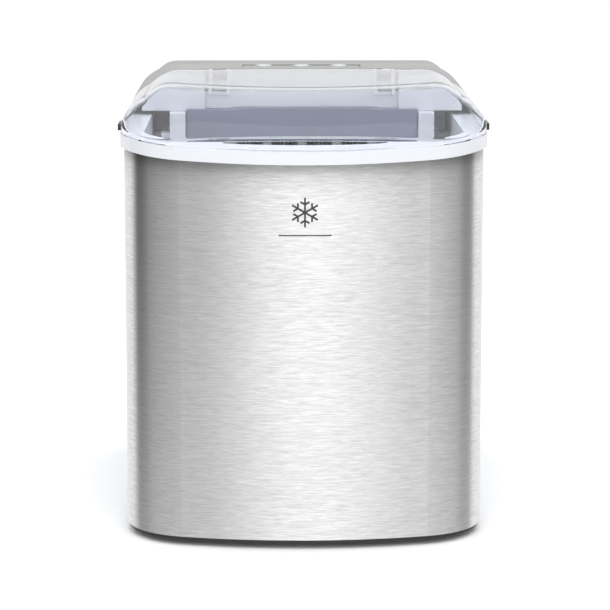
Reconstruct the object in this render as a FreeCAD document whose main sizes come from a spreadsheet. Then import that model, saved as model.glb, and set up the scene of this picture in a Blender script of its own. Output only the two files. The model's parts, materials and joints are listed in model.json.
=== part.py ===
import FreeCAD, Part
import Sketcher
import math
import os

# Countertop ice maker, millimetres.
# +Z is up, -Y is the front, +X is the right-hand side seen from the front.
# The origin is under the middle of the outer box, on the surface that the feet stand on.

os.makedirs("parts", exist_ok=True)
doc = FreeCAD.newDocument("ice_maker")
V = FreeCAD.Vector

# ---------------------------------------------------------------- driving dimensions

PARAMS = {
    "half_width": 121.0,       # half of the width over the top collar
    "half_depth": 170.0,       # half of the depth over everything
    "overhang": 2.4,           # the collar stands this far outside the steel
    "front_radius": 303.0,     # plan radius of the bowed steel front
    "corner_radius": 51.6,     # plan radius of the front corners
    "rear_radius": 14.0,       # plan radius of the rear corners
    "steel_base": 6.0,         # lower edge of the steel above the table
    "steel_top": 259.0,        # upper edge of the steel at the sides
    "front_dip": 5.9,          # how much lower that edge is at the front centre
    "collar_tall": 8.4,        # height of the collar's outer apron
    "sheet": 0.8,              # steel thickness
    "wall": 2.4,               # thickness of moulded walls
    "foam": 8.5,               # insulation thickness
    "lid_gap": 0.3,            # clearance between the closed lid and the collar
    "lid_rear": 6.8,           # rear edge of the lid, along Y
    "cover_front": 10.6,       # front edge of the rear top cover, along Y
    "hinge_y": 7.6,            # lid hinge axis, along Y
    "hinge_z": 297.6,          # lid hinge axis, height
    "pin_radius": 1.5,         # lid hinge pins
    "tray_y": 21.0,            # tray axis, along Y
    "tray_z": 231.0,           # tray axis, height
    "trough_radius": 27.0,     # inner radius of the water tray's trough
    "trough_wall": 2.0,        # its wall
    "tray_half": 74.0,         # half of the tray's length
    "axle_radius": 4.0,        # tray axles
    "running_gap": 0.06,       # radial clearance of pins in their bores
    "finger_pitch": 24.5,      # spacing of the freezing fingers
    "finger_radius": 5.0,      # radius of one freezing finger
    "button_radius": 5.1,      # radius of a push button
    "button_pitch": 26.8,      # spacing of the three buttons
    "button_y": 46.5,          # buttons, along Y
    "deck_z": 298.4,           # face of the control inset
    "fan_x": -73.0,            # middle of the fan, along X
    "fan_y": 112.0,            # fan axis, along Y
    "fan_z": 84.0,             # fan axis, height
    "rotor_radius": 38.0,      # fan blade tips
    "pump_x": -38.0,           # pump axis, along X
    "pump_z": 32.0,            # pump axis, height
    "compressor_x": 50.0,      # compressor axis, along X
    "compressor_y": 112.0,     # compressor axis, along Y
    "compressor_radius": 43.0,
    "rear_slope": 0.61,        # rise over run where the rear corners fall away
}

sheet = doc.addObject("Spreadsheet::Sheet", "Params")
for row, (alias, value) in enumerate(PARAMS.items(), start=1):
    sheet.set("A%d" % row, str(value))
    sheet.setAlias("A%d" % row, alias)
doc.recompute()


def formula(text):
    """Turn the plain names in a formula into references to the sheet's cells."""
    words = []
    word = ""
    for letter in str(text) + " ":
        if letter.isalnum() or letter in "_.":
            word += letter
        else:
            words.append("Params." + word if word in PARAMS else word)
            words.append(letter)
            word = ""
    return "".join(words).strip()


def value(text):
    """The number that a formula gives now."""
    return float(sheet.evalExpression(formula(text)))


def bind(thing, **sizes):
    """Bind properties of a document object to formulas on the sheet."""
    for name, text in sizes.items():
        thing.setExpression(name.replace("__", "."), formula(text))


# ---------------------------------------------------------------- building helpers

counter = [0]
nodes = []


def name_of(stem):
    counter[0] += 1
    return "%s_%03d" % (stem, counter[0])


def node(label, thing):
    """Give a finished sub-part its label; the label is also its file's name."""
    thing.Label = label
    nodes.append(thing)
    return thing


def move(thing, x=0, y=0, z=0):
    bind(thing, Placement__Base__x=x, Placement__Base__y=y, Placement__Base__z=z)
    return thing


def box(x0, x1, y0, y1, z0, z1):
    thing = doc.addObject("Part::Box", name_of("box"))
    bind(thing, Length="(%s)-(%s)" % (x1, x0), Width="(%s)-(%s)" % (y1, y0),
         Height="(%s)-(%s)" % (z1, z0))
    return move(thing, x0, y0, z0)


TURN = {"Z": (V(0, 0, 1), 0), "X": (V(0, 1, 0), 90), "Y": (V(1, 0, 0), -90)}


def cylinder(radius, length, x, y, z, axis="Z"):
    """A cylinder that starts at x, y, z and runs along +axis."""
    thing = doc.addObject("Part::Cylinder", name_of("cylinder"))
    bind(thing, Radius=radius, Height=length)
    thing.Placement = FreeCAD.Placement(V(), FreeCAD.Rotation(*TURN[axis]))
    return move(thing, x, y, z)


def cone(radius_low, radius_high, length, x, y, z, axis="Z"):
    thing = doc.addObject("Part::Cone", name_of("cone"))
    bind(thing, Radius1=radius_low, Radius2=radius_high, Height=length)
    thing.Placement = FreeCAD.Placement(V(), FreeCAD.Rotation(*TURN[axis]))
    return move(thing, x, y, z)


def group(things):
    """Several separate solids as one object."""
    thing = doc.addObject("Part::Compound", name_of("group"))
    thing.Links = list(things)
    return thing


def fuse(*things):
    thing = doc.addObject("Part::MultiFuse", name_of("fuse"))
    thing.Shapes = list(things)
    return thing


def common(*things):
    thing = doc.addObject("Part::MultiCommon", name_of("common"))
    thing.Shapes = list(things)
    return thing


def cut(base, *tools):
    thing = doc.addObject("Part::Cut", name_of("cut"))
    thing.Base = base
    thing.Tool = tools[0] if len(tools) == 1 else group(tools)
    return thing


def offset(outline, distance):
    thing = doc.addObject("Part::Offset2D", name_of("offset"))
    thing.Source = outline
    bind(thing, Value=distance)
    return thing


def prism(outline, low, high, direction=(0, 0, 1)):
    """Extrude an outline from low to high along a direction."""
    thing = doc.addObject("Part::Extrusion", name_of("prism"))
    thing.Base = outline
    thing.DirMode = "Custom"
    thing.Dir = direction
    thing.Solid = True
    bind(thing, LengthFwd=high, LengthRev="-(%s)" % low)
    return thing


BEND_RATIO = 6        # a pipe's bend radius over its own radius, where there is room
RUN_SHARE = 0.42      # the most of a straight run that one bend may use


def tube_along(points, radius, bore=0.0):
    """A round tube along straight runs joined by tangent arcs."""
    edges = []
    start = points[0]
    for i in range(1, len(points) - 1):
        into = points[i] - points[i - 1]
        away = points[i + 1] - points[i]
        turn = into.getAngle(away)
        if turn < 0.01:
            continue
        widest = BEND_RATIO * radius * math.tan(turn / 2)
        setback = min(RUN_SHARE * min(into.Length, away.Length), widest)
        first = points[i] - V(into).normalize() * setback
        last = points[i] + V(away).normalize() * setback
        bend = setback / math.tan(turn / 2)
        inward = (V(away).normalize() - V(into).normalize()).normalize()
        centre = points[i] + inward * (bend / math.cos(turn / 2))
        middle = centre - inward * bend
        edges.append(Part.LineSegment(start, first).toShape())
        edges.append(Part.Arc(first, middle, last).toShape())
        start = last
    edges.append(Part.LineSegment(start, points[-1]).toShape())
    path = Part.Wire(edges)
    facing = points[1] - points[0]

    def swept(size):
        ring = Part.Wire(Part.Circle(points[0], facing, size).toShape())
        return path.makePipeShell([ring], True, True)

    solid = swept(radius)
    return solid.cut(swept(bore)) if bore else solid


def tube(points, radius, bore=0.0):
    thing = doc.addObject("Part::Feature", name_of("tube"))
    thing.Shape = tube_along([V(*p) for p in points], radius, bore)
    thing.Placement = FreeCAD.Placement()
    return thing


# ---------------------------------------------------------------- PartDesign helpers

def body_of(label):
    return doc.addObject("PartDesign::Body", name_of("body_" + label))


def sketch_on(body, role, height=0):
    """A sketch on one of the body's own origin planes, lifted along its normal."""
    plane = [p for p in body.Origin.OriginFeatures if p.Role == role][0]
    sketch = body.newObject("Sketcher::SketchObject", name_of("sketch"))
    sketch.AttachmentSupport = [(plane, "")]
    sketch.MapMode = "FlatFace"
    bind(sketch, AttachmentOffset__Base__z=height)
    return sketch


def constrain(sketch, kind, *places, text):
    """Add one dimension and bind it to a formula."""
    index = sketch.addConstraint(Sketcher.Constraint(kind, *places, value(text)))
    sketch.setExpression("Constraints[%d]" % index, formula(text))


def circle_in(sketch, x, y, radius):
    centre = V(value(x), value(y), 0)
    shape = Part.Circle(centre, V(0, 0, 1), value(radius))
    index = sketch.addGeometry(shape)
    constrain(sketch, "Radius", index, text=radius)
    constrain(sketch, "DistanceX", -1, 1, index, 3, text=x)
    constrain(sketch, "DistanceY", -1, 1, index, 3, text=y)


def loop_in(sketch, corners):
    """A closed outline of straight lines, each corner tied to its two formulas."""
    points = [V(value(x), value(y), 0) for x, y in corners]
    count = len(points)
    first = sketch.GeometryCount
    for i in range(count):
        sketch.addGeometry(Part.LineSegment(points[i], points[(i + 1) % count]))
    for i in range(count):
        here = first + i
        sketch.addConstraint(Sketcher.Constraint("Coincident", here, 2, first + (i + 1) % count, 1))
        constrain(sketch, "DistanceX", -1, 1, here, 1, text=corners[i][0])
        constrain(sketch, "DistanceY", -1, 1, here, 1, text=corners[i][1])


def rectangle_in(sketch, x0, x1, y0, y1):
    loop_in(sketch, [(x0, y0), (x1, y0), (x1, y1), (x0, y1)])


def pad(body, sketch, length, reverse=False):
    feature = body.newObject("PartDesign::Pad", name_of("pad"))
    feature.Profile = sketch
    bind(feature, Length=length)
    feature.Reversed = reverse
    return feature


def pocket(body, sketch, length, reverse=False):
    feature = body.newObject("PartDesign::Pocket", name_of("pocket"))
    feature.Profile = sketch
    bind(feature, Length=length)
    feature.Reversed = reverse
    return feature


def revolve(body, sketch):
    """Turn a profile about the sketch's vertical axis."""
    feature = body.newObject("PartDesign::Revolution", name_of("revolution"))
    feature.Profile = sketch
    feature.ReferenceAxis = (sketch, ["V_Axis"])
    feature.Angle = 360
    return feature


def turned(label, profile, x, y, z, tilt=None):
    """A turned piece: its half profile (radius, height) about its own Z axis."""
    body = body_of(label)
    sketch = sketch_on(body, "XZ_Plane")
    loop_in(sketch, profile)
    revolve(body, sketch)
    if tilt:
        body.Placement = FreeCAD.Placement(V(), FreeCAD.Rotation(*TURN[tilt]))
    return move(body, x, y, z)


def row_of(body, feature, direction, length, count):
    pattern = body.newObject("PartDesign::LinearPattern", name_of("row"))
    pattern.Originals = [feature]
    pattern.Direction = (feature.Profile[0], [direction])
    pattern.Length = length
    pattern.Occurrences = count
    body.Tip = pattern
    return pattern


def ring_of(body, feature, sketch, count):
    pattern = body.newObject("PartDesign::PolarPattern", name_of("ring"))
    pattern.Originals = [feature]
    pattern.Axis = (sketch, ["N_Axis"])
    pattern.Angle = 360
    pattern.Occurrences = count
    body.Tip = pattern
    return pattern


# ---------------------------------------------------------------- the plan outline

STEEL_HALF = "(half_width-overhang)"
STEEL_FRONT = "(-half_depth+overhang)"
STEEL_REAR = "(half_depth-4)"


def plan_outline():
    """Outside of the steel seen from above: bowed front, round corners, straight sides."""
    half = value(STEEL_HALF)
    front = value(STEEL_FRONT)
    rear = value(STEEL_REAR)
    big = PARAMS["front_radius"]
    corner = PARAMS["corner_radius"]
    back = PARAMS["rear_radius"]
    bow_y = front + big
    side_x = half - corner
    side_y = bow_y - math.sqrt((big - corner) ** 2 - side_x ** 2)
    reach = V(side_x, side_y - bow_y, 0).normalize() * big
    tangent = V(reach.x, bow_y + reach.y, 0)
    towards = V(math.cos(math.radians(-35)), math.sin(math.radians(-35)), 0) * corner
    bend = V(side_x, side_y, 0) + towards
    diagonal = back * math.sqrt(0.5)
    rear_bend = V(half - back + diagonal, rear - back + diagonal, 0)
    right = [V(tangent), bend, V(half, side_y, 0)]

    def mirrored(point):
        return V(-point.x, point.y, 0)

    edges = [
        Part.Arc(mirrored(tangent), V(0, front, 0), tangent),
        Part.Arc(*right),
        Part.LineSegment(right[2], V(half, rear - back, 0)),
        Part.Arc(V(half, rear - back, 0), rear_bend, V(half - back, rear, 0)),
        Part.LineSegment(V(half - back, rear, 0), V(back - half, rear, 0)),
        Part.Arc(V(back - half, rear, 0), mirrored(rear_bend), V(-half, rear - back, 0)),
        Part.LineSegment(V(-half, rear - back, 0), mirrored(right[2])),
        Part.Arc(mirrored(right[2]), mirrored(bend), mirrored(tangent)),
    ]
    sketch = doc.addObject("Sketcher::SketchObject", "plan_outline")
    for edge in edges:
        sketch.addGeometry(edge)
    count = len(edges)
    for i in range(count):
        following = (i + 1) % count
        ends = [(i, point) for point in (1, 2)]
        starts = [(following, point) for point in (1, 2)]
        near = min(((sketch.getPoint(*a) - sketch.getPoint(*b)).Length, a, b)
                   for a in ends for b in starts)
        sketch.addConstraint(Sketcher.Constraint("Tangent", *near[1], *near[2]))
    constrain(sketch, "Radius", 0, text="front_radius")
    constrain(sketch, "Radius", 1, text="corner_radius")
    constrain(sketch, "Radius", 7, text="corner_radius")
    constrain(sketch, "Radius", 3, text="rear_radius")
    constrain(sketch, "Radius", 5, text="rear_radius")
    for index in (2, 6):
        sketch.addConstraint(Sketcher.Constraint("Vertical", index))
    sketch.addConstraint(Sketcher.Constraint("Horizontal", 4))
    constrain(sketch, "DistanceX", -1, 1, 2, 1, text=STEEL_HALF)
    constrain(sketch, "DistanceX", 6, 1, -1, 1, text=STEEL_HALF)
    constrain(sketch, "DistanceY", -1, 1, 4, 1, text=STEEL_REAR)
    constrain(sketch, "DistanceY", -1, 1, 0, 3, text=STEEL_FRONT + "+front_radius")
    sketch.addConstraint(Sketcher.Constraint("PointOnObject", 0, 3, -2))
    return sketch


outline = plan_outline()
doc.recompute()


def slab(distance, low, high):
    """The plan outline, offset by a distance, filled from low to high."""
    return prism(offset(outline, distance), low, high)


# The steel's upper edge, the collar and the lid's lower edge all follow one curve:
# level along the sides and gently dipping towards the front centre.
DIP_START = -108.0
DIP_RUN = value(STEEL_FRONT) - DIP_START
DIP_RADIUS = (DIP_RUN ** 2 + PARAMS["front_dip"] ** 2) / (2 * PARAMS["front_dip"])


def above_curve(raise_by):
    """Everything above the dipping curve, which may be raised."""
    level = value("steel_top+(%s)" % raise_by)
    centre_z = level - DIP_RADIUS
    edge = -200.0
    low = V(0, edge, centre_z + math.sqrt(DIP_RADIUS ** 2 - (edge - DIP_START) ** 2))
    middle_y = (edge + DIP_START) / 2
    middle = V(0, middle_y, centre_z + math.sqrt(DIP_RADIUS ** 2 - (middle_y - DIP_START) ** 2))
    start = V(0, DIP_START, level)
    far = [V(0, 200, level), V(0, 200, 340), V(0, edge, 340)]
    edges = [Part.Arc(low, middle, start).toShape()]
    for a, b in zip([start] + far, far + [low]):
        edges.append(Part.LineSegment(a, b).toShape())
    face = Part.Face(Part.Wire(edges))
    thing = doc.addObject("Part::Feature", name_of("above"))
    thing.Shape = face.extrude(V(300, 0, 0))
    thing.Placement = FreeCAD.Placement(V(-150, 0, 0), FreeCAD.Rotation())
    return thing


# ---------------------------------------------------------------- the domed top

CROWN_FRONT = V(0, -117.6, 295.3)
CROWN_TOP = V(0, 15.0, 300.2)
CROWN_BACK = V(0, 105.0, 296.2)
REAR_SHOULDER = V(0, 150.0, 290.9)
REAR_EDGE = V(0, 170.0, 278.6)


def dome_section():
    """The dome seen from the front: skirt, steep shoulder, soft edge, nearly flat crown."""
    half = PARAMS["half_width"] - 0.4
    left = [V(-half, 0, 240), V(-half, 0, 274.2), V(-115.4, 0, 282.6), V(-105, 0, 290.4),
            V(-97.2, 0, 296.2), V(-76, 0, 299.7)]

    def right(point):
        return V(-point.x, 0, point.z)

    edges = [
        Part.LineSegment(left[0], left[1]).toShape(),
        Part.Arc(left[1], left[2], left[3]).toShape(),
        Part.Arc(left[3], left[4], left[5]).toShape(),
        Part.Arc(left[5], V(0, 0, 300.8), right(left[5])).toShape(),
        Part.Arc(right(left[5]), right(left[4]), right(left[3])).toShape(),
        Part.Arc(right(left[3]), right(left[2]), right(left[1])).toShape(),
        Part.LineSegment(right(left[1]), right(left[0])).toShape(),
        Part.LineSegment(right(left[0]), left[0]).toShape(),
    ]
    return Part.Face(Part.Wire(edges))


def dome_profile():
    """The dome seen from the side: gently crowned, falling away behind."""
    first = V(0, -200, 291.5)
    edges = [
        Part.LineSegment(V(0, -200, 240), first).toShape(),
        Part.LineSegment(first, CROWN_FRONT).toShape(),
        Part.Arc(CROWN_FRONT, CROWN_TOP, CROWN_BACK).toShape(),
        Part.Arc(CROWN_BACK, REAR_SHOULDER, REAR_EDGE).toShape(),
        Part.LineSegment(REAR_EDGE, V(0, 170, 240)).toShape(),
        Part.LineSegment(V(0, 170, 240), V(0, -200, 240)).toShape(),
    ]
    return Part.Face(Part.Wire(edges))


def shape_prism(face, inward, along, length):
    """Extrude a fixed outline, drawn inwards by a distance, about the middle of its run."""
    if inward:
        face = face.makeOffset2D(-inward, 2)
    thing = doc.addObject("Part::Feature", name_of("dome"))
    thing.Shape = face.extrude(along * length)
    thing.Placement = FreeCAD.Placement(along * (-length / 2), FreeCAD.Rotation())
    return thing


# The rear corners fall away on a wide cone about this axis.
REAR_SLOPE_Y = "20"
REAR_SLOPE_RADIUS = "184.3"


def dome(inward):
    """The whole domed top as one solid, drawn inwards by a distance."""
    across = shape_prism(dome_section(), inward, V(0, 1, 0), 500)
    through = shape_prism(dome_profile(), inward, V(1, 0, 0), 400)
    plan = slab("overhang-0.4-%s" % inward, "245", "310")
    slope_low = "front_radius+overhang-0.4-%s" % inward
    slope = cone(slope_low + "+44", slope_low + "-90", "57.5", "0",
                 STEEL_FRONT + "+front_radius", "252.3-%s*0.5" % inward)
    rear_low = "(%s-%s)" % (REAR_SLOPE_RADIUS, inward)
    rear = cone(rear_low + "+20/rear_slope", rear_low + "-30/rear_slope", "50", "0",
                REAR_SLOPE_Y, "254.2-%s*0.5" % inward)
    return common(across, through, plan, slope, rear)


# ---------------------------------------------------------------- outer casing

def make_casing():
    ring = cut(slab("0", "steel_base", "steel_top"), slab("-sheet", "steel_base-1", "steel_top+1"))
    dip = above_curve("0")
    rear_window = box("-98", "98", "half_depth-8", "half_depth", "steel_base-1", "steel_top+1")
    side_vents = [box("-half_width", "-half_width+8", y, y + 3.6, 46, 118) for y in range(74, 154, 8)]
    other_vents = [box("half_width-8", "half_width", y, y + 3.6, 46, 118) for y in range(74, 154, 8)]
    node("steel_wrap", cut(ring, dip, rear_window, *side_vents, *other_vents))

    panel = body_of("rear_panel")
    face = sketch_on(panel, "XZ_Plane", "-(half_depth-4)")
    rectangle_in(face, "-97.7", "97.7", "steel_base+2", "steel_top-0.3")
    pad(panel, face, "2")
    slot = sketch_on(panel, "XZ_Plane", "-(half_depth-3)")
    rectangle_in(slot, "-90", "-20", "48", "51.6")
    row_of(panel, pocket(panel, slot, "6", True), "V_Axis", 96, 13)
    upper = sketch_on(panel, "XZ_Plane", "-(half_depth-3)")
    rectangle_in(upper, "12", "90", "150", "153.6")
    row_of(panel, pocket(panel, upper, "6", True), "V_Axis", 64, 9)
    holes = sketch_on(panel, "XZ_Plane", "-(half_depth-3)")
    circle_in(holes, "78", "36", "7")
    circle_in(holes, "0", "24", "8.5")
    pocket(panel, holes, "6", True)
    node("rear_panel", panel)

    stands = [box("fan_x-9", "fan_x+9", y, y + 8, "8", "fan_z-44") for y in (74, 136)]
    ribs = [box(x0, x1, y0, y1, "8", "16") for x0, x1, y0, y1 in
            (("-90", "-70", "-60", "40"), ("70", "90", "-60", "40"), ("-30", "-14", "-130", "-70"),
             ("14", "30", "-130", "-70"))]
    pan = cut(fuse(slab("-sheet-0.2", "4", "8"), *stands, *ribs),
              *[box(x, x + 5, 86, 132, 3, 9) for x in range(-96, -60, 10)],
              *[cylinder("3", "6", x, y, "3") for x in (-86, 86) for y in (-112, 140)])
    node("base_pan", pan)
    feet = [fuse(cylinder("10", "4", x, y, "0"), cylinder("3", "5", x, y, "3"))
            for x in (-86, 86) for y in (-112, 140)]
    node("rubber_feet", group(feet))


def make_collar():
    deck = cut(slab("overhang", "248", "steel_top+collar_tall"),
               slab("-13.7", "247", "steel_top+collar_tall+1"),
               above_curve("collar_tall"))
    under = cut(slab("-1.6", "240", "steel_top+collar_tall"), above_curve("collar_tall-wall"))
    lower_side = cut(slab("30", "240", "steel_top+1"), above_curve("0"))
    lip = cut(slab("-12", "244", "steel_top+collar_tall"), slab("-13.7", "243", "275"),
              above_curve("collar_tall-1"), box("-130", "130", "54.4", "180", "240", "264"))
    node("top_collar", fuse(cut(deck, under, lower_side), lip))


def make_lid():
    seat = cut(slab("30", "230", "steel_top+collar_tall+40"), above_curve("collar_tall+lid_gap"))
    shell = cut(dome(0), dome(2.4))
    front_part = common(cut(shell, seat), box("-130", "130", "-180", "lid_rear", "240", "310"))
    ears = []
    for x in (-62, 56):
        ears.append(cylinder("2.4", "6", x, "hinge_y", "hinge_z", "X"))
        ears.append(box(x, x + 6, "lid_rear-4", "hinge_y", "hinge_z-2.8", "hinge_z+1"))
    reliefs = [box(x, x + 3.6, "lid_rear-2.4", "lid_rear+3", "290", "306")
               for x in (-65.6, -53.0, 49.4, 62.0)]
    shell = fuse(cut(front_part, *reliefs), *ears)
    bore = cylinder("pin_radius", "140", "-70", "hinge_y", "hinge_z", "X")
    node("lid", cut(shell, bore))
    pins = [cylinder("pin_radius", "13", x, "hinge_y", "hinge_z", "X") for x in (-65.5, 52.5)]
    node("lid_hinge_pins", group(pins))
    tabs = []
    for side in (-1, 1):
        low, high = sorted((side * 120.7, side * 122.9))
        tab = box(low, high, "-102", "-79", "steel_top+collar_tall+0.8", "steel_top+collar_tall+5")
        tabs.append(tab)
    node("lid_lip_tabs", group(tabs))


def make_rear_cover():
    shell = cut(dome(0), dome(2.4))
    keep = box("-130", "130", "cover_front", "180", "240", "310")
    seat = cut(slab("30", "230", "steel_top+collar_tall+40"), above_curve("collar_tall+0.05"))
    notches = [box(x, x + 17, "cover_front-2", "cover_front+2.7", "290", "306") for x in (-66, 49)]
    inset = box("-42", "42", "button_y-16", "button_y+14", "270", "310")
    node("rear_cover", cut(common(cut(shell, seat), keep), inset, *notches))


def make_hood():
    front = box("-112", "112", "cover_front+2.6", "cover_front+5", "272", "306")
    blocks = [box(x0, x1, "cover_front-0.6", "cover_front+5", "270.2", "293.6")
              for x0, x1 in (("-112", "-67.6"), ("67.6", "112"))]
    ceiling = box("-112", "112", "cover_front+5", "57.6", "281.6", "284")
    sides = [box(x0, x1, "cover_front-0.6", "57.6", "270.2", "284")
             for x0, x1 in (("-103.4", "-101"), ("101", "103.4"))]
    rear = box("-103.4", "103.4", "55.4", "57.6", "247", "284")
    blank = fuse(front, *blocks, ceiling, *sides, rear)
    ports = [cylinder("3.4", "8", x, "52", "264", "Y") for x in (-40, 40)]
    ports.append(cylinder("3.3", "8", "-67", "52", "268", "Y"))
    ports.append(box("-68", "-50", "cover_front+1", "cover_front+6", "291.5", "306"))
    ports.append(box("50", "68", "cover_front+1", "cover_front+6", "291.5", "306"))
    node("evaporator_hood", common(cut(blank, *ports), dome(2.5)))
    brackets = []
    for x in (-65, 50):
        lug = box(x, x + 15, "cover_front-0.2", "cover_front+2.6", "287", "291.4")
        brackets.append(lug)
        for ear_x in ((x, x + 2.4), (x + 12.6, x + 15)):
            ear = fuse(box(ear_x[0], ear_x[1], "hinge_y", "cover_front+2.6", "287", "hinge_z+1"),
                       cylinder("2.3", "2.4", ear_x[0], "hinge_y", "hinge_z", "X"))
            brackets.append(ear)
    bore = [cylinder("pin_radius+running_gap", "20", x, "hinge_y", "hinge_z", "X")
            for x in (-68, 48)]
    left = cut(fuse(*brackets[:3]), bore[0])
    right = cut(fuse(*brackets[3:]), bore[1])
    node("hinge_brackets", group([left, right]))

    plate = body_of("evaporator_cover")
    profile = sketch_on(plate, "YZ_Plane", "-80.6")
    loop_in(profile, [("0", "251.6"), ("1.8", "251.6"), ("3.8", "270.1"), ("9.6", "270.1"),
                      ("9.6", "271.8"), ("2.2", "271.8")])
    pad(plate, profile, "161.2")
    tongue = sketch_on(plate, "YZ_Plane", "-66")
    rectangle_in(tongue, "9", "cover_front+2.5", "270.1", "271.8")
    pad(plate, tongue, "132")
    baffle = box("-80", "80", "52.2", "54.6", "206", "250")
    node("evaporator_cover", group([plate, baffle]))


# ---------------------------------------------------------------- ice chamber

def make_chamber():
    outer = common(slab("-sheet-foam", "16", "250"),
                   box("-130", "130", "-200", "57", "10", "260"))
    inner = common(slab("-sheet-foam-2.2", "18.4", "252"),
                   box("-130", "130", "-200", "54.8", "10", "260"))
    ledges = [box(x0, x1, "-96", "-30", "112", "118")
              for x0, x1 in (("-107.2", "-97"), ("97", "107.2"))]
    inlet = cylinder("4.1", "8", "pump_x", "52", "pump_z", "Y")
    drain = cylinder("3.7", "8", "0", "52", "24", "Y")
    probe = cylinder("3", "8", "-90", "52", "96", "Y")
    sensor = [cylinder("2.6", "12", x, "-30", "238", "X") for x in ("-112", "100")]
    node("inner_liner", fuse(cut(outer, inner, inlet, drain, probe, *sensor), *ledges))
    jacket = cut(common(slab("-sheet-0.3", "30", "248"), box("-130", "130", "-200", "50", "20", "260")),
                 slab("-sheet-foam+0.1", "20", "260"),
                 *[cylinder("3.2", "14", x, "-30", "238", "X") for x in ("-119", "105")])
    node("foam_jacket", jacket)

    evaporator = fuse(box("-60", "60", "tray_y-17", "tray_y-5", "258", "269"),
                      box("-60", "60", "tray_y+5", "tray_y+17", "258", "269"),
                      box("-60", "-50", "tray_y-6", "tray_y+6", "258", "269"))
    for x in (-49, -24.5, 0, 24.5, 49):
        evaporator = cut(evaporator, cylinder("2.6", "6", x, "tray_y-11", "257"))
    for x in (-36.75, -12.25, 12.25, 36.75):
        evaporator = cut(evaporator, cylinder("2.6", "6", x, "tray_y+11", "257"))
    bores = [cylinder("3", "12", x, "tray_y+12", "264", "Y") for x in (-40, 40)]
    node("evaporator_block", cut(evaporator, *bores))

    fingers = []
    for line, y in (((-2, -1, 0, 1, 2), "tray_y-11"), ((-1.5, -0.5, 0.5, 1.5), "tray_y+11")):
        for place in line:
            x = "%s*finger_pitch" % place
            rod = fuse(cylinder("finger_radius", "258-tray_z+11", x, y, "tray_z-11"),
                       cylinder("2.6", "4", x, y, "257.5"))
            tip = doc.addObject("Part::Sphere", name_of("tip"))
            bind(tip, Radius="finger_radius")
            move(tip, x, y, "tray_z-11")
            fingers.append(fuse(rod, tip))
    node("evaporator_fingers", group(fingers))


def arc_plate(inner, outer, start, stop, x0, x1):
    """Part of a ring about the tray's axis, between two angles from the front, seen from +X."""
    centre = V(x0, PARAMS["tray_y"], PARAMS["tray_z"])

    def at(radius, angle):
        turn = math.radians(angle)
        return centre + V(0, radius * math.cos(turn), radius * math.sin(turn))

    middle = (start + stop) / 2
    edges = [
        Part.Arc(at(outer, start), at(outer, middle), at(outer, stop)).toShape(),
        Part.LineSegment(at(outer, stop), at(inner, stop)).toShape(),
        Part.Arc(at(inner, stop), at(inner, middle), at(inner, start)).toShape(),
        Part.LineSegment(at(inner, start), at(outer, start)).toShape(),
    ]
    thing = doc.addObject("Part::Feature", name_of("arc"))
    thing.Shape = Part.Face(Part.Wire(edges)).extrude(V(x1 - x0, 0, 0))
    thing.Placement = FreeCAD.Placement()
    return thing


def make_tray():
    half = PARAMS["tray_half"]
    inner = PARAMS["trough_radius"]
    outer = inner + PARAMS["trough_wall"]
    trough = arc_plate(inner, outer, 195, 345, -half, half)
    ends = []
    for x in ("-tray_half", "tray_half-2"):
        disc = cylinder("trough_radius+1", "2", x, "tray_y", "tray_z", "X")
        half_disc = cut(disc, box("-80", "80", "tray_y-40", "tray_y+40", "tray_z-7", "tray_z+40"))
        boss = cylinder("9", "2", x, "tray_y", "tray_z", "X")
        ends += [half_disc, boss]
    spine = [box(x0, x1, "tray_y-9", "tray_y+9", "tray_z-10", "tray_z")
             for x0, x1 in (("-tray_half", "-tray_half+2"), ("tray_half-2", "tray_half"))]
    node("water_tray", cut(fuse(trough, *ends, *spine),
                           cylinder("axle_radius", "200", "-100", "tray_y", "tray_z", "X")))
    axles = [cylinder("axle_radius", "18.4", x, "tray_y", "tray_z", "X")
             for x in ("-tray_half-16.4", "tray_half-2")]
    node("tray_axles", group(axles))

    blade = arc_plate(30.4, 32.2, 155, 178, -78.4, 78.4)
    arms = []
    for x in ("-78.4", "76"):
        arm = fuse(cylinder("8", "2.4", x, "tray_y", "tray_z", "X"),
                   box(x, x + "+2.4", "tray_y-31.4", "tray_y-4", "tray_z+1.6", "tray_z+7.4"))
        arms.append(arm)
    bore = cylinder("axle_radius+running_gap", "200", "-100", "tray_y", "tray_z", "X")
    node("ice_shovel", cut(fuse(blade, *arms), bore))

    brackets = []
    for x in ("-92", "81"):
        plate = box(x, x + "+11", "-3", "52", "204", "270")
        hollow = box(x + "+2.4", x + "+8.6", "-0.6", "49.6", "206.4", "267.6")
        bearing = cylinder("7", "11", x, "tray_y", "tray_z", "X")
        brackets.append(cut(fuse(cut(plate, hollow), bearing),
                            cylinder("axle_radius+running_gap", "20", x + "-4", "tray_y",
                                     "tray_z", "X")))
    node("tray_brackets", group(brackets))
    motor = fuse(cylinder("17", "9", "92.2", "tray_y", "tray_z", "X"),
                 box("92.2", "94.2", "tray_y-25", "tray_y+25", "tray_z-6", "tray_z+6"))
    node("tray_motor", motor)
    switch = fuse(box("-98.6", "-92.2", "tray_y-16", "tray_y+4", "tray_z+12", "tray_z+24"),
                  box("-97", "-93.6", "tray_y-14", "tray_y-11", "tray_z+10", "tray_z+12"))
    node("tray_switch", switch)


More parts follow.
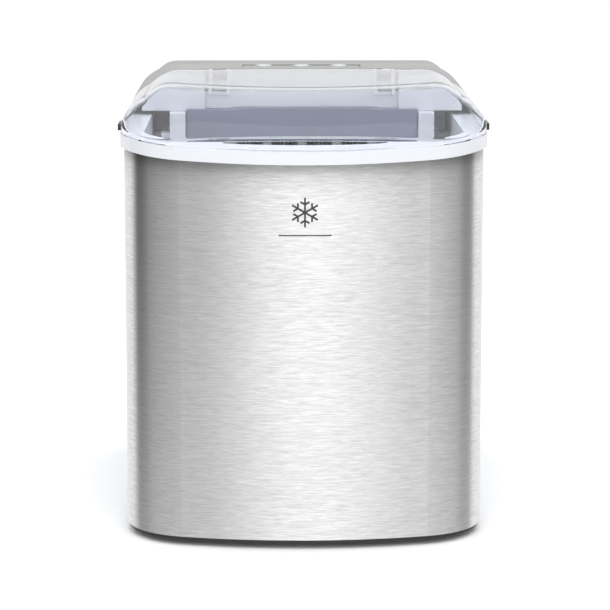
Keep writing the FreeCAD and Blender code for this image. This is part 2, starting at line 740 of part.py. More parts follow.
def make_basket():
    basket = body_of("ice_basket")
    floor = sketch_on(basket, "XY_Plane", "118.2")
    rectangle_in(floor, "-92", "92", "-137", "-15")
    block = pad(basket, floor, "108")
    doc.recompute()
    rounding = basket.newObject("PartDesign::Fillet", "basket_front_corners")
    edges = ["Edge%d" % i for i, e in enumerate(block.Shape.Edges, start=1)
             if e.BoundBox.ZLength > 100 and e.BoundBox.YMax < -100]
    rounding.Base = (block, edges)
    rounding.Radius = 24
    doc.recompute()
    hollow = basket.newObject("PartDesign::Thickness", "basket_hollow")
    top = ["Face%d" % i for i, f in enumerate(rounding.Shape.Faces, start=1)
           if f.BoundBox.ZMin > 226]
    hollow.Base = (rounding, top)
    hollow.Value = 2.2
    hollow.Reversed = True
    slots = sketch_on(basket, "XY_Plane", "122")
    rectangle_in(slots, "-64", "-60", "-124", "-27")
    row_of(basket, pocket(basket, slots, "8"), "H_Axis", 124, 12)
    notch = sketch_on(basket, "XZ_Plane", "10")
    rectangle_in(notch, "-86", "86", "196", "230")
    pocket(basket, notch, "12", True)
    node("ice_basket", basket)
    pivots = [cylinder("2", "3.2", x, "-78", "220", "X") for x in ("-95.2", "92")]
    node("basket_pivots", group(pivots))
    handle = body_of("basket_handle")
    for x in ("-94.8", "92.4"):
        arm = sketch_on(handle, "YZ_Plane", x)
        loop_in(arm, [("-82", "216"), ("-73.6", "216"), ("-73.6", "224.4"), ("-88", "226.6"),
                      ("-121", "232"), ("-125", "232"), ("-125", "228.4"), ("-121", "228.4"),
                      ("-88", "222.6")])
        pad(handle, arm, "2.4")
        if x == "-94.8":
            bar = sketch_on(handle, "YZ_Plane", x)
            rectangle_in(bar, "-125", "-121", "228.4", "232")
            pad(handle, bar, "189.6")
    bore = sketch_on(handle, "YZ_Plane", "-100")
    circle_in(bore, "-78", "220", "2+running_gap")
    pocket(handle, bore, "200", True)
    node("basket_handle", handle)


def make_water_system():
    housing = cut(fuse(cylinder("15", "14", "pump_x", "66", "pump_z", "Y"),
                       cylinder("6", "10", "pump_x", "57.2", "pump_z", "Y"),
                       cylinder("4", "8", "pump_x", "52", "pump_z", "Y"),
                       cylinder("4.5", "22", "pump_x-9", "73", "pump_z+2")),
                  cylinder("12", "9", "pump_x", "68.5", "pump_z", "Y"),
                  cylinder("2.6", "22", "pump_x", "50", "pump_z", "Y"),
                  cylinder("1.56", "6", "pump_x", "76", "pump_z", "Y"),
                  cylinder("2.6", "24", "pump_x-9", "73", "pump_z+1"))
    node("pump_housing", housing)
    motor = cut(cylinder("13", "24", "pump_x", "80.1", "pump_z", "Y"),
                cylinder("1.56", "12", "pump_x", "79", "pump_z", "Y"))
    node("pump_motor", motor)
    impeller = body_of("pump_impeller")
    hub = sketch_on(impeller, "XY_Plane")
    circle_in(hub, "0", "0", "4")
    pad(impeller, hub, "6")
    blade = sketch_on(impeller, "XY_Plane")
    rectangle_in(blade, "3", "11", "-0.8", "0.8")
    vane = pad(impeller, blade, "6")
    ring_of(impeller, vane, blade, 6)
    impeller.Placement = FreeCAD.Placement(V(), FreeCAD.Rotation(*TURN["Y"]))
    move(impeller, "pump_x", "70", "pump_z")
    shaft = cylinder("1.5", "13", "pump_x", "76", "pump_z", "Y")
    node("pump_impeller", impeller)
    node("pump_shaft", shaft)

    x = value("pump_x-9")
    route = [(x, 73, 56.2), (x, 73, 235), (-67, 73, 268), (-67, 21, 268), (-67, 21, 247)]
    node("water_hose", tube(route, 3.2, 2.2))
    node("level_probe", fuse(cylinder("3", "12", "-90", "50", "96", "Y"),
                             cylinder("5", "3", "-90", "57.2", "96", "Y"),
                             cylinder("1.2", "16", "-90", "42", "96", "Y")))
    ice_eyes = [fuse(cylinder("2.6", "9", x0, "-30", "238", "X"),
                     cylinder("4", "2", x1, "-30", "238", "X"))
                for x0, x1 in (("-112", "-106.4"), ("103", "104.4"))]
    node("ice_level_eyes", group(ice_eyes))

    fitting = cut(fuse(cylinder("8.4", "6", "0", "162", "24", "Y"),
                       cylinder("11", "1.8", "0", "166.1", "24", "Y")),
                  cylinder("5", "20", "0", "155", "24", "Y"))
    node("drain_fitting", fitting)
    node("drain_hose", cut(cylinder("3.6", "109.9", "0", "52", "24", "Y"),
                           cylinder("2.4", "120", "0", "50", "24", "Y")))
    plug = turned("drain_plug", [("0", "0"), ("4.9", "0"), ("4.9", "4.4"), ("7.6", "4.4"),
                                 ("7.6", "6.1"), ("0", "6.1")], "0", "163.6", "24", "Y")
    node("drain_plug", plug)


# ---------------------------------------------------------------- refrigeration and air

def make_refrigeration():
    mounts = ((18, 82), (82, 82), (50, 151))
    plate = box("8", "92", "72", "158", "18", "20")
    node("compressor_plate", cut(plate, *[cylinder("4", "6", x, y, "16") for x, y in mounts]))
    grommets = [fuse(cylinder("7", "10", x, y, "8"), cylinder("4", "3.6", x, y, "17"))
                for x, y in mounts]
    node("compressor_grommets", group(grommets))
    shell = body_of("compressor")
    profile = sketch_on(shell, "XZ_Plane")
    loop_in(profile, [("0", "0"), ("compressor_radius-9", "0"), ("compressor_radius-2", "7"),
                      ("compressor_radius-2", "50"), ("compressor_radius", "51"),
                      ("compressor_radius", "57"), ("compressor_radius-2", "58"),
                      ("compressor_radius-2", "98"), ("compressor_radius-12", "112"),
                      ("compressor_radius-26", "118"), ("0", "119")])
    revolve(shell, profile)
    move(shell, "compressor_x", "compressor_y", "20.1")
    node("compressor", shell)
    housing = cylinder("compressor_radius+0.1", "60", "compressor_x", "compressor_y", "60")
    node("compressor_terminal_cover", cut(box("84", "103", "100", "124", "76", "102"), housing))

    fins = []
    for z in [22 + 4 * i for i in range(32)]:
        holes = [cylinder("3.3", "3", -99, y, z - 1) for y in (74, 93, 112, 131, 150)]
        fins.append(cut(box("-108", "-90", "66", "158", z, z + 0.7), *holes))
    node("condenser_fins", group(fins))
    serpentine = []
    for i, y in enumerate((74, 93, 112, 131, 150)):
        ends = [(-99, y, 156), (-99, y, 14.5)]
        serpentine += ends if i % 2 == 0 else ends[::-1]
    node("condenser_tube", tube(serpentine, 3.2))

    discharge = [(50, 140, 126), (50, 140, 176), (0, 138, 176), (-60, 136, 172),
                 (-99, 120, 172), (-99, 74, 172), (-99, 74, 156.1)]
    node("discharge_line", cut(tube(discharge, 2.6), shell))
    drier = turned("filter_drier", [("0", "0"), ("2.6", "0"), ("8", "8"), ("8", "50"), ("2.6", "60"),
                                    ("0", "60")], "-46", "150", "52")
    feed = tube([(-90, 150, 12), (-60, 150, 12), (-46, 150, 26), (-46, 150, 52.4)], 1.4)
    node("filter_drier", fuse(drier, feed))
    capillary = [(-46, 150, 112.1), (-46, 150, 200), (-40, 120, 220), (-40, 76, 224),
                 (-40, 70, 264), (-40, 35, 264)]
    node("capillary_tube", tube(capillary, 1.6))
    suction = [(40, 35, 264), (40, 70, 264), (40, 88, 240), (24, 94, 190), (24, 98, 130)]
    node("suction_line", cut(tube(suction, 2.9), shell))
    valve = fuse(box("-14", "8", "126", "142", "186", "206"), cylinder("7", "20", "-3", "134", "206"))
    node("hot_gas_valve", valve)

    frame = cut(box("fan_x-11", "fan_x+11", "fan_y-44", "fan_y+44", "fan_z-44", "fan_z+44"),
                cylinder("rotor_radius+3", "30", "fan_x-15", "fan_y", "fan_z", "X"))
    spokes = [box("fan_x+7", "fan_x+10", "fan_y-42.5", "fan_y+42.5", "fan_z-2.5", "fan_z+2.5"),
              box("fan_x+7", "fan_x+10", "fan_y-2.5", "fan_y+2.5", "fan_z-42.5", "fan_z+42.5")]
    hub = cylinder("15", "5", "fan_x+6", "fan_y", "fan_z", "X")
    node("fan_frame", cut(fuse(frame, *spokes, hub),
                          cylinder("2+running_gap", "9", "fan_x+3", "fan_y", "fan_z", "X")))
    rotor = body_of("fan_rotor")
    hub_face = sketch_on(rotor, "XY_Plane")
    circle_in(hub_face, "0", "0", "14")
    pad(rotor, hub_face, "13")
    blade = sketch_on(rotor, "XY_Plane", "2")
    loop_in(blade, [("13", "-4"), ("rotor_radius-3", "-11"), ("rotor_radius-1", "-6"),
                    ("rotor_radius-1", "2"), ("13", "4")])
    vane = pad(rotor, blade, "2.4")
    ring_of(rotor, vane, blade, 7)
    rotor.Placement = FreeCAD.Placement(V(), FreeCAD.Rotation(*TURN["X"]))
    move(rotor, "fan_x-9", "fan_y", "fan_z")
    node("fan_rotor", rotor)
    node("fan_shaft", cylinder("2", "6.4", "fan_x+4", "fan_y", "fan_z", "X"))


# ---------------------------------------------------------------- controls and power

def make_controls():
    tray = box("-41.7", "41.7", "button_y-15.7", "button_y+13.7", "deck_z-9.2", "deck_z")
    hollow = box("-39.7", "39.7", "button_y-13.7", "button_y+11.7", "deck_z-10", "deck_z-2")
    holes = [cylinder("button_radius+0.9", "12", "%d*button_pitch" % i, "button_y", "deck_z-5")
             for i in (-1, 0, 1)]
    lamps = [cylinder("1.2", "12", "%s*button_pitch" % i, "button_y-9", "deck_z-5")
             for i in (-1.2, -0.8, -0.15, 0.15, 0.8, 1.2)]
    node("control_inset", cut(tray, hollow, *holes, *lamps))
    bezels = [cut(cylinder("button_radius+1.8", "1", "%d*button_pitch" % i, "button_y", "deck_z"),
                  cylinder("button_radius+0.4", "4", "%d*button_pitch" % i, "button_y", "deck_z-1"))
              for i in (-1, 0, 1)]
    node("button_bezels", group(bezels))
    for i, side in ((-1, "left"), (0, "middle"), (1, "right")):
        cap = turned("button_" + side, [("0", "0"), ("button_radius-1.6", "0"),
                                        ("button_radius-1.6", "3.2"), ("button_radius", "3.2"),
                                        ("button_radius", "8.2"), ("button_radius-0.8", "9"),
                                        ("0", "9.2")],
                     "%d*button_pitch" % i, "button_y", "deck_z-7.4")
        node("button_" + side, cap)
    lenses = [cylinder("1.2", "2.2", "%s*button_pitch" % i, "button_y-9", "deck_z-2")
              for i in (-1.2, -0.8, -0.15, 0.15, 0.8, 1.2)]
    node("indicator_lenses", group(lenses))
    board = box("-39", "39", "button_y-13", "button_y+11", "285.6", "287")
    switches = [box("%d*button_pitch-3" % i, "%d*button_pitch+3" % i, "button_y-3", "button_y+3",
                    "287", "deck_z-9.4") for i in (-1, 0, 1)]
    posts = [cylinder("2", "1.6", x, y, "284") for x in ("-36", "36")
             for y in ("button_y-10", "button_y+8")]
    node("control_board", fuse(board, *switches, *posts))

    power = box("14", "96", "61.4", "63", "150", "236")
    parts = [box("22", "44", "63", "84", "160", "180"), box("52", "66", "63", "78", "158", "176"),
             cylinder("6", "18", "78", "62.5", "166", "Y"), box("22", "60", "63", "72", "196", "210"),
             box("70", "90", "63", "76", "196", "226")]
    holders = [box(x, x + 4, "57.7", "61.4", z, z + 4) for x in (16, 90) for z in (152, 230)]
    node("power_board", fuse(power, *parts, *holders))
    gland = cut(fuse(cylinder("6.9", "6", "78", "163", "36", "Y"),
                     cylinder("10", "3.9", "78", "166.1", "36", "Y"),
                     cylinder("9.4", "3", "78", "160.9", "36", "Y")),
                cylinder("3.6", "14", "78", "159", "36", "Y"))
    node("mains_inlet", gland)
    screws = []
    for x in (-92, 92):
        for z in (16, 132, 250):
            head = cut(cylinder("3.4", "1.8", x, "166.1", z, "Y"),
                       box(x - 2.4, x + 2.4, "167", "169", z - 0.5, z + 0.5),
                       box(x - 0.5, x + 0.5, "167", "169", z - 2.4, z + 2.4))
            screws.append(head)
    node("rear_screws", group(screws))


BADGE_Z = 222.0        # middle of the mark on the steel
BADGE_REACH = 9.5      # length of one arm
BADGE_LINE = 1.2       # width of its strokes
BADGE_PROUD = 0.25     # how far it stands off the steel
BRANCH_REACH = 3.4


def stroke(reach, angle, start):
    """A bar of the badge that leaves the point start at an angle, in degrees from +X."""
    bar = doc.addObject("Part::Box", name_of("stroke"))
    bar.Length = reach
    bar.Width = BADGE_LINE
    bar.Height = BADGE_LINE
    turn = FreeCAD.Rotation(V(0, 1, 0), -angle)
    bar.Placement = FreeCAD.Placement(start + turn.multVec(V(0, 0, -BADGE_LINE / 2)), turn)
    return bar


def make_badge():
    """A plain snowflake over a short rule, on the steel and a hair proud of it."""
    middle = V(0, value(STEEL_FRONT) - BADGE_PROUD, BADGE_Z)
    strokes = []
    for angle in range(30, 390, 60):
        out = V(math.cos(math.radians(angle)), 0, math.sin(math.radians(angle)))
        strokes.append(stroke(BADGE_REACH, angle, middle))
        for lean in (-60, 60):
            strokes.append(stroke(BRANCH_REACH, angle + lean, middle + out * BADGE_REACH * 0.55))
    flake = fuse(*strokes)
    rule = box("-17", "17", STEEL_FRONT + "-0.25", STEEL_FRONT + "+0.9", "206.8", "207.5")
    under = slab("0", "200", "250")
    node("snowflake_badge", group([cut(flake, under), cut(rule, under)]))


make_casing()
make_collar()
make_lid()
make_rear_cover()
make_hood()
make_chamber()
make_tray()
make_basket()
make_water_system()
make_refrigeration()
make_controls()
make_badge()
doc.recompute()

# ---------------------------------------------------------------- check and export

broken = [thing for thing in doc.Objects if "Invalid" in thing.State or "Error" in thing.State]
if broken:
    raise RuntimeError("failed: " + ", ".join(thing.Name for thing in broken))

for thing in nodes:
    shape = thing.Shape
    if shape.isNull() or not shape.isValid() or not shape.Solids:
        raise RuntimeError("%s has no valid shape" % thing.Label)
    shape.exportStep("parts/%s.step" % thing.Label)
    box_size = shape.optimalBoundingBox(False)
    print("%-26s %2d solids %10.0f mm3  x %.1f..%.1f  y %.1f..%.1f  z %.1f..%.1f" % (
        thing.Label, len(shape.Solids), shape.Volume, box_size.XMin, box_size.XMax,
        box_size.YMin, box_size.YMax, box_size.ZMin, box_size.ZMax))
print(len(nodes), "nodes")
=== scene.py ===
"""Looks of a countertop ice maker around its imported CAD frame. Metres, +Z up, -Y front."""

import json
import math

import bmesh
import bpy
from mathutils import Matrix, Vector


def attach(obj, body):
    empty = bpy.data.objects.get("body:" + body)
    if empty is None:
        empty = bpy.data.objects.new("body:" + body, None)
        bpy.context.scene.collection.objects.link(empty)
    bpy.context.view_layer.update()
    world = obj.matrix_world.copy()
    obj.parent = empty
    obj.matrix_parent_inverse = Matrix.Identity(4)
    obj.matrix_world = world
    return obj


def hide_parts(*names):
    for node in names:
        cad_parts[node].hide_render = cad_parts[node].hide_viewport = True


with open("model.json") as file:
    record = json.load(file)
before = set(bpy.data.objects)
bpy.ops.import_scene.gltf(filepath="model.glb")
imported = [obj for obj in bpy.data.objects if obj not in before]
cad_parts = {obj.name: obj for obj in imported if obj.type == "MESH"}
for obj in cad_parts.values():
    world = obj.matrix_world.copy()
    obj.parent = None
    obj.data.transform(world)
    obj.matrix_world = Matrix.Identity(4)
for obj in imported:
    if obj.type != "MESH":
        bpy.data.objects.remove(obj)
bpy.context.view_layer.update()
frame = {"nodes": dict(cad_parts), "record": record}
NODES = frame["nodes"]
MM = 0.001

# Driving sizes of the frame's outer shape, in millimetres.
HALF_WIDTH = 118.6
FRONT_BOW = 303.0
BOW_Y = 135.4
CORNER = 51.6
CORNER_X = 67.0
CORNER_Y = -106.9
REAR_Y = 166.0
REAR_CORNER = 14.0
LID_OUT = 2.0
LID_REAR = 6.8
COVER_FRONT = 10.6
COLLAR_TOP = 267.4
DIP_START = -108.0
DIP_RADIUS = 304.0
WALL = 2.4
LID_GAP = 0.3
COVER_GAP = 0.05
STEEL_TOP = 259.0
HINGE_Y = 7.6
HINGE_Z = 297.6

# ---------------------------------------------------------------- shader node helpers


def new_material(name):
    """A fresh material with one Principled shader. Returns it, its node tree and the shader."""
    material = bpy.data.materials.new(name)
    material.use_nodes = True
    tree = material.node_tree
    tree.nodes.clear()
    output = tree.nodes.new("ShaderNodeOutputMaterial")
    shader = tree.nodes.new("ShaderNodeBsdfPrincipled")
    tree.links.new(shader.outputs["BSDF"], output.inputs["Surface"])
    return material, tree, shader


def stretched(tree, scale):
    """Object coordinates, scaled separately along X, Y and Z."""
    place = tree.nodes.new("ShaderNodeTexCoord")
    mapping = tree.nodes.new("ShaderNodeMapping")
    mapping.inputs["Scale"].default_value = scale
    tree.links.new(place.outputs["Object"], mapping.inputs["Vector"])
    return mapping.outputs["Vector"]


def noise(tree, vector, scale, detail=4.0, rough=0.6, distortion=0.0):
    node = tree.nodes.new("ShaderNodeTexNoise")
    node.inputs["Scale"].default_value = scale
    node.inputs["Detail"].default_value = detail
    node.inputs["Roughness"].default_value = rough
    node.inputs["Distortion"].default_value = distortion
    tree.links.new(vector, node.inputs["Vector"])
    return node.outputs["Fac"]


def ramp(tree, factor, *stops):
    """A colour ramp; each stop is (place, grey value) or (place, (r, g, b))."""
    node = tree.nodes.new("ShaderNodeValToRGB")
    elements = node.color_ramp.elements
    while len(elements) < len(stops):
        elements.new(0.5)
    for element, (place, colour) in zip(elements, stops):
        element.position = place
        rgb = colour if isinstance(colour, tuple) else (colour,) * 3
        element.color = (*rgb, 1.0)
    tree.links.new(factor, node.inputs["Fac"])
    return node.outputs["Color"]


def mapped(tree, factor, from_low, from_high, to_low, to_high):
    node = tree.nodes.new("ShaderNodeMapRange")
    node.inputs["From Min"].default_value = from_low
    node.inputs["From Max"].default_value = from_high
    node.inputs["To Min"].default_value = to_low
    node.inputs["To Max"].default_value = to_high
    tree.links.new(factor, node.inputs["Value"])
    return node.outputs["Result"]


def product(tree, a, b):
    """Two colours multiplied."""
    node = tree.nodes.new("ShaderNodeMix")
    node.data_type = "RGBA"
    node.blend_type = "MULTIPLY"
    node.inputs["Factor"].default_value = 1.0
    tree.links.new(a, node.inputs["A"])
    tree.links.new(b, node.inputs["B"])
    return node.outputs["Result"]


def faded(tree, factor, colour, grey):
    """A colour that turns into a plain one as the factor goes from 0 to 1."""
    node = tree.nodes.new("ShaderNodeMix")
    node.data_type = "RGBA"
    tree.links.new(factor, node.inputs["Factor"])
    tree.links.new(colour, node.inputs["A"])
    node.inputs["B"].default_value = (*grey, 1)
    return node.outputs["Result"]


def maths(tree, operation, *values):
    """One maths node; each value is a number or another node's output."""
    node = tree.nodes.new("ShaderNodeMath")
    node.operation = operation
    for socket, number in zip(node.inputs, values):
        if isinstance(number, float):
            socket.default_value = number
        else:
            tree.links.new(number, socket)
    return node


def separated(tree, kind):
    """The X, Y and Z outputs of one kind of texture coordinates."""
    place = tree.nodes.new("ShaderNodeTexCoord")
    split = tree.nodes.new("ShaderNodeSeparateXYZ")
    tree.links.new(place.outputs[kind], split.inputs["Vector"])
    return split.outputs


def bump(tree, shader, height, strength, depth):
    node = tree.nodes.new("ShaderNodeBump")
    node.inputs["Strength"].default_value = strength
    node.inputs["Distance"].default_value = depth
    tree.links.new(height, node.inputs["Height"])
    tree.links.new(node.outputs["Normal"], shader.inputs["Normal"])


# ---------------------------------------------------------------- materials


SHADOW_TALL = 30.0


def below_collar(tree):
    """0 at the collar's dipping lower edge, 1 where its shadow on the steel ends."""
    place = separated(tree, "Object")
    forward = maths(tree, "SUBTRACT", DIP_START * MM, place["Y"])
    forward.use_clamp = True
    square = maths(tree, "MULTIPLY", forward.outputs[0], forward.outputs[0])
    level = maths(tree, "MULTIPLY_ADD", square.outputs[0], 0.5 / (DIP_RADIUS * MM), place["Z"])
    bottom = STEEL_TOP - SHADOW_TALL
    return mapped(tree, level.outputs[0], STEEL_TOP * MM, bottom * MM, 0.0, 1.0)


def brushed_steel():
    """Stainless sheet brushed level all the way round, with short fine streaks."""
    material, tree, shader = new_material("brushed_steel")
    shader.inputs["Metallic"].default_value = 1.0
    shader.inputs["Anisotropic"].default_value = 0.85
    shader.inputs["Anisotropic Rotation"].default_value = 0.25
    short = noise(tree, stretched(tree, (110, 110, 1500)), 1.0, 5.0, 0.62, 0.25)
    long = noise(tree, stretched(tree, (30, 30, 700)), 1.0, 3.0, 0.5, 0.2)
    cloud = noise(tree, stretched(tree, (9, 9, 16)), 1.0, 3.0, 0.5)
    streaks = ramp(tree, short, (0.30, (0.66, 0.66, 0.655)), (0.70, (0.93, 0.93, 0.925)))
    bands = ramp(tree, long, (0.30, 0.92), (0.70, 1.0))
    tone = ramp(tree, cloud, (0.25, 0.95), (0.75, 1.0))
    shade = product(tree, product(tree, streaks, bands), tone)
    shadow = ramp(tree, below_collar(tree), (0.0, 0.40), (0.09, 0.47), (0.19, 0.64), (0.31, 0.83),
                  (0.57, 0.96), (0.8, 1.0))
    tree.links.new(product(tree, shade, shadow), shader.inputs["Base Color"])
    tree.links.new(mapped(tree, short, 0.3, 0.7, 0.29, 0.22), shader.inputs["Roughness"])
    tangent = tree.nodes.new("ShaderNodeTangent")
    tangent.direction_type = "RADIAL"
    tangent.axis = "Z"
    tree.links.new(tangent.outputs["Tangent"], shader.inputs["Tangent"])
    bump(tree, shader, short, 0.10, 0.00005)
    return material


def moulded(name, colour, rough, grain=1400, strength=0.06, coat=0.0, spread=0.04):
    """Injection-moulded plastic: faint tone variation and a fine orange-peel skin."""
    material, tree, shader = new_material(name)
    skin = noise(tree, stretched(tree, (1, 1, 1)), grain, 3.0, 0.5)
    cloud = noise(tree, stretched(tree, (1, 1, 1)), 22.0, 4.0, 0.55)
    dark = tuple(c * (1 - spread) for c in colour)
    tree.links.new(ramp(tree, cloud, (0.3, dark), (0.7, colour)), shader.inputs["Base Color"])
    tree.links.new(mapped(tree, cloud, 0.3, 0.7, rough + 0.04, rough - 0.04),
                   shader.inputs["Roughness"])
    shader.inputs["Coat Weight"].default_value = coat
    shader.inputs["Coat Roughness"].default_value = 0.12
    bump(tree, shader, skin, strength, 0.00008)
    return material


def clear_lid():
    """Clear moulded shell with a faint cool tint and faint flow lines."""
    material, tree, shader = new_material("clear_lid")
    shader.inputs["Transmission Weight"].default_value = 1.0
    shader.inputs["IOR"].default_value = 1.34
    flow = noise(tree, stretched(tree, (5, 16, 16)), 1.0, 3.0, 0.5)
    tree.links.new(ramp(tree, flow, (0.3, (0.86, 0.885, 0.94)), (0.7, (0.91, 0.93, 0.97))),
                   shader.inputs["Base Color"])
    tree.links.new(mapped(tree, flow, 0.3, 0.7, 0.03, 0.015), shader.inputs["Roughness"])
    bump(tree, shader, flow, 0.02, 0.0004)
    return material


def metal(name, colour, rough, scale=(400, 400, 400), depth=0.00003, spread=0.12):
    """A plain metal surface with handling marks."""
    material, tree, shader = new_material(name)
    shader.inputs["Metallic"].default_value = 1.0
    marks = noise(tree, stretched(tree, scale), 1.0, 5.0, 0.6)
    dark = tuple(c * (1 - spread) for c in colour)
    tree.links.new(ramp(tree, marks, (0.3, dark), (0.7, colour)), shader.inputs["Base Color"])
    tree.links.new(mapped(tree, marks, 0.3, 0.7, rough * 1.25, rough * 0.8),
                   shader.inputs["Roughness"])
    bump(tree, shader, marks, 0.15, depth)
    return material


def black_enamel():
    material, tree, shader = new_material("black_metal")
    peel = noise(tree, stretched(tree, (1, 1, 1)), 260.0, 3.0, 0.5)
    tree.links.new(ramp(tree, peel, (0.3, (0.012, 0.012, 0.013)), (0.7, (0.022, 0.022, 0.024))),
                   shader.inputs["Base Color"])
    shader.inputs["Roughness"].default_value = 0.28
    shader.inputs["Coat Weight"].default_value = 0.4
    shader.inputs["Coat Roughness"].default_value = 0.15
    bump(tree, shader, peel, 0.25, 0.0002)
    return material


def foam():
    material, tree, shader = new_material("foam")
    cells = tree.nodes.new("ShaderNodeTexVoronoi")
    cells.inputs["Scale"].default_value = 520.0
    tree.links.new(stretched(tree, (1, 1, 1)), cells.inputs["Vector"])
    tree.links.new(ramp(tree, cells.outputs["Distance"], (0.1, (0.72, 0.66, 0.50)),
                        (0.6, (0.86, 0.82, 0.68))), shader.inputs["Base Color"])
    shader.inputs["Roughness"].default_value = 0.9
    bump(tree, shader, cells.outputs["Distance"], 0.5, 0.0005)
    return material


def rubber():
    material, tree, shader = new_material("rubber")
    dust = noise(tree, stretched(tree, (1, 1, 1)), 900.0, 4.0, 0.6)
    tree.links.new(ramp(tree, dust, (0.35, (0.018, 0.018, 0.018)), (0.75, (0.035, 0.034, 0.033))),
                   shader.inputs["Base Color"])
    shader.inputs["Roughness"].default_value = 0.72
    bump(tree, shader, dust, 0.3, 0.0001)
    return material


def circuit_board():
    """Green solder mask over faint copper tracks."""
    material, tree, shader = new_material("circuit_board")
    tracks = tree.nodes.new("ShaderNodeTexBrick")
    tracks.inputs["Scale"].default_value = 160.0
    tracks.inputs["Mortar Size"].default_value = 0.05
    tracks.inputs["Color1"].default_value = (0.015, 0.10, 0.04, 1)
    tracks.inputs["Color2"].default_value = (0.02, 0.13, 0.05, 1)
    tracks.inputs["Mortar"].default_value = (0.07, 0.24, 0.09, 1)
    tree.links.new(stretched(tree, (1, 1, 1)), tracks.inputs["Vector"])
    tree.links.new(tracks.outputs["Color"], shader.inputs["Base Color"])
    shader.inputs["Roughness"].default_value = 0.35
    bump(tree, shader, tracks.outputs["Fac"], 0.2, 0.00005)
    return material


def silicone():
    material, tree, shader = new_material("silicone")
    cloud = noise(tree, stretched(tree, (1, 1, 1)), 180.0, 3.0, 0.5)
    tree.links.new(ramp(tree, cloud, (0.3, (0.74, 0.77, 0.76)), (0.7, (0.84, 0.86, 0.85))),
                   shader.inputs["Base Color"])
    shader.inputs["Transmission Weight"].default_value = 0.45
    shader.inputs["Roughness"].default_value = 0.3
    bump(tree, shader, cloud, 0.1, 0.0002)
    return material


WHITE = (0.70, 0.715, 0.75)
MATERIALS = {
    "brushed_steel": brushed_steel(),
    "white_plastic": moulded("white_plastic", WHITE, 0.30, coat=0.15, spread=0.025),
    "clear_lid": clear_lid(),
    "dark_plastic": moulded("dark_plastic", (0.022, 0.022, 0.024), 0.42, 1100, 0.2, spread=0.2),
    "silver_plastic": moulded("silver_plastic", (0.27, 0.275, 0.255), 0.42, 2200, 0.05),
    "grey_plastic": moulded("grey_plastic", (0.165, 0.185, 0.255), 0.38, 1300, 0.08, spread=0.08),
    "rubber": rubber(),
    "chrome": metal("chrome", (0.50, 0.505, 0.52), 0.07, (900, 900, 900), 0.00001, 0.05),
    "nickel": metal("nickel", (0.70, 0.69, 0.66), 0.14, (220, 220, 900), 0.00002, 0.15),
    "copper": metal("copper", (0.72, 0.34, 0.20), 0.24, (160, 160, 160), 0.00003, 0.35),
    "aluminium": metal("aluminium", (0.78, 0.79, 0.80), 0.30, (60, 900, 60), 0.00003, 0.15),
    "black_metal": black_enamel(),
    "steel_part": metal("steel_part", (0.56, 0.57, 0.58), 0.30, (320, 320, 320), 0.00004, 0.2),
    "foam": foam(),
    "circuit_board": circuit_board(),
    "lamp": moulded("lamp", (0.50, 0.72, 0.55), 0.25, 900, 0.05),
    "silicone": silicone(),
    "print_grey": moulded("print_grey", (0.035, 0.036, 0.040), 0.35, 1600, 0.1, spread=0.15),
    "button_face": metal("button_face", (0.74, 0.75, 0.77), 0.22, (700, 90, 700), 0.00002, 0.08),
}


def finish_frame():
    """Give every CAD node its procedural material, by the record's own slot for it."""
    for part in frame["record"]["subparts"]:
        thing = NODES[part["node"]]
        thing.data.materials.clear()
        thing.data.materials.append(MATERIALS[part["material_slot"]])


SOFTENED = {
    "top_collar": 0.5,
    "evaporator_hood": 0.6,
    "evaporator_cover": 0.3,
    "control_inset": 0.6,
    "ice_basket": 0.5,
    "basket_handle": 0.5,
    "water_tray": 0.4,
    "ice_shovel": 0.4,
    "tray_brackets": 0.6,
    "inner_liner": 0.5,
    "base_pan": 0.6,
    "rubber_feet": 0.8,
    "lid_lip_tabs": 0.4,
    "rear_panel": 0.3,
    "mains_inlet": 0.5,
    "drain_fitting": 0.4,
    "drain_plug": 0.6,
    "hinge_brackets": 0.3,
}


def soften_edges():
    """Round the moulded parts' sharp edges by their real small radii."""
    for name, radius in SOFTENED.items():
        thing = NODES[name]
        weld = thing.modifiers.new("weld", "WELD")
        weld.merge_threshold = 0.00001
        bevel = thing.modifiers.new("edge_radius", "BEVEL")
        bevel.width = radius * MM
        bevel.segments = 2
        bevel.limit_method = "ANGLE"
        bevel.angle_limit = math.radians(38)
        bevel.harden_normals = False
        bevel.use_clamp_overlap = True
        normals = thing.modifiers.new("normals", "WEIGHTED_NORMAL")
        normals.keep_sharp = True


# ---------------------------------------------------------------- the domed top


def circle_height(a, b, c, x):
    """Height at x on the circle through three points of a section."""
    (ax, az), (bx, bz), (cx, cz) = a, b, c
    aa = ax**2 + az**2
    bb = bx**2 + bz**2
    cc = cx**2 + cz**2
    d = 2 * (ax * (bz - cz) + bx * (cz - az) + cx * (az - bz))
    ux = (aa * (bz - cz) + bb * (cz - az) + cc * (az - bz)) / d
    uz = (aa * (cx - bx) + bb * (ax - cx) + cc * (bx - ax)) / d
    radius = math.hypot(ax - ux, az - uz)
    return uz + math.sqrt(max(radius**2 - (x - ux) ** 2, 0.0))


SKIRT_X = 120.6
SHOULDER_X = 105.0
CROWN_X = 76.0
SHOULDER = ((SKIRT_X, 274.2), (115.4, 282.6), (SHOULDER_X, 290.4))
SOFT_EDGE = ((SHOULDER_X, 290.4), (97.2, 296.2), (CROWN_X, 299.7))
CROWN = ((-CROWN_X, 299.7), (0.0, 300.8), (CROWN_X, 299.7))

# The same dome seen from the side: a straight run, a long crown, then the fall behind.
NOSE = (-200.0, 291.5)
CROWN_FRONT = (-117.6, 295.3)
CROWN_BACK = (105.0, 296.2)
REAR_EDGE = (170.0, 278.6)
ALONG = (CROWN_FRONT, (15.0, 300.2), CROWN_BACK)
FALL = (CROWN_BACK, (150.0, 290.9), REAR_EDGE)

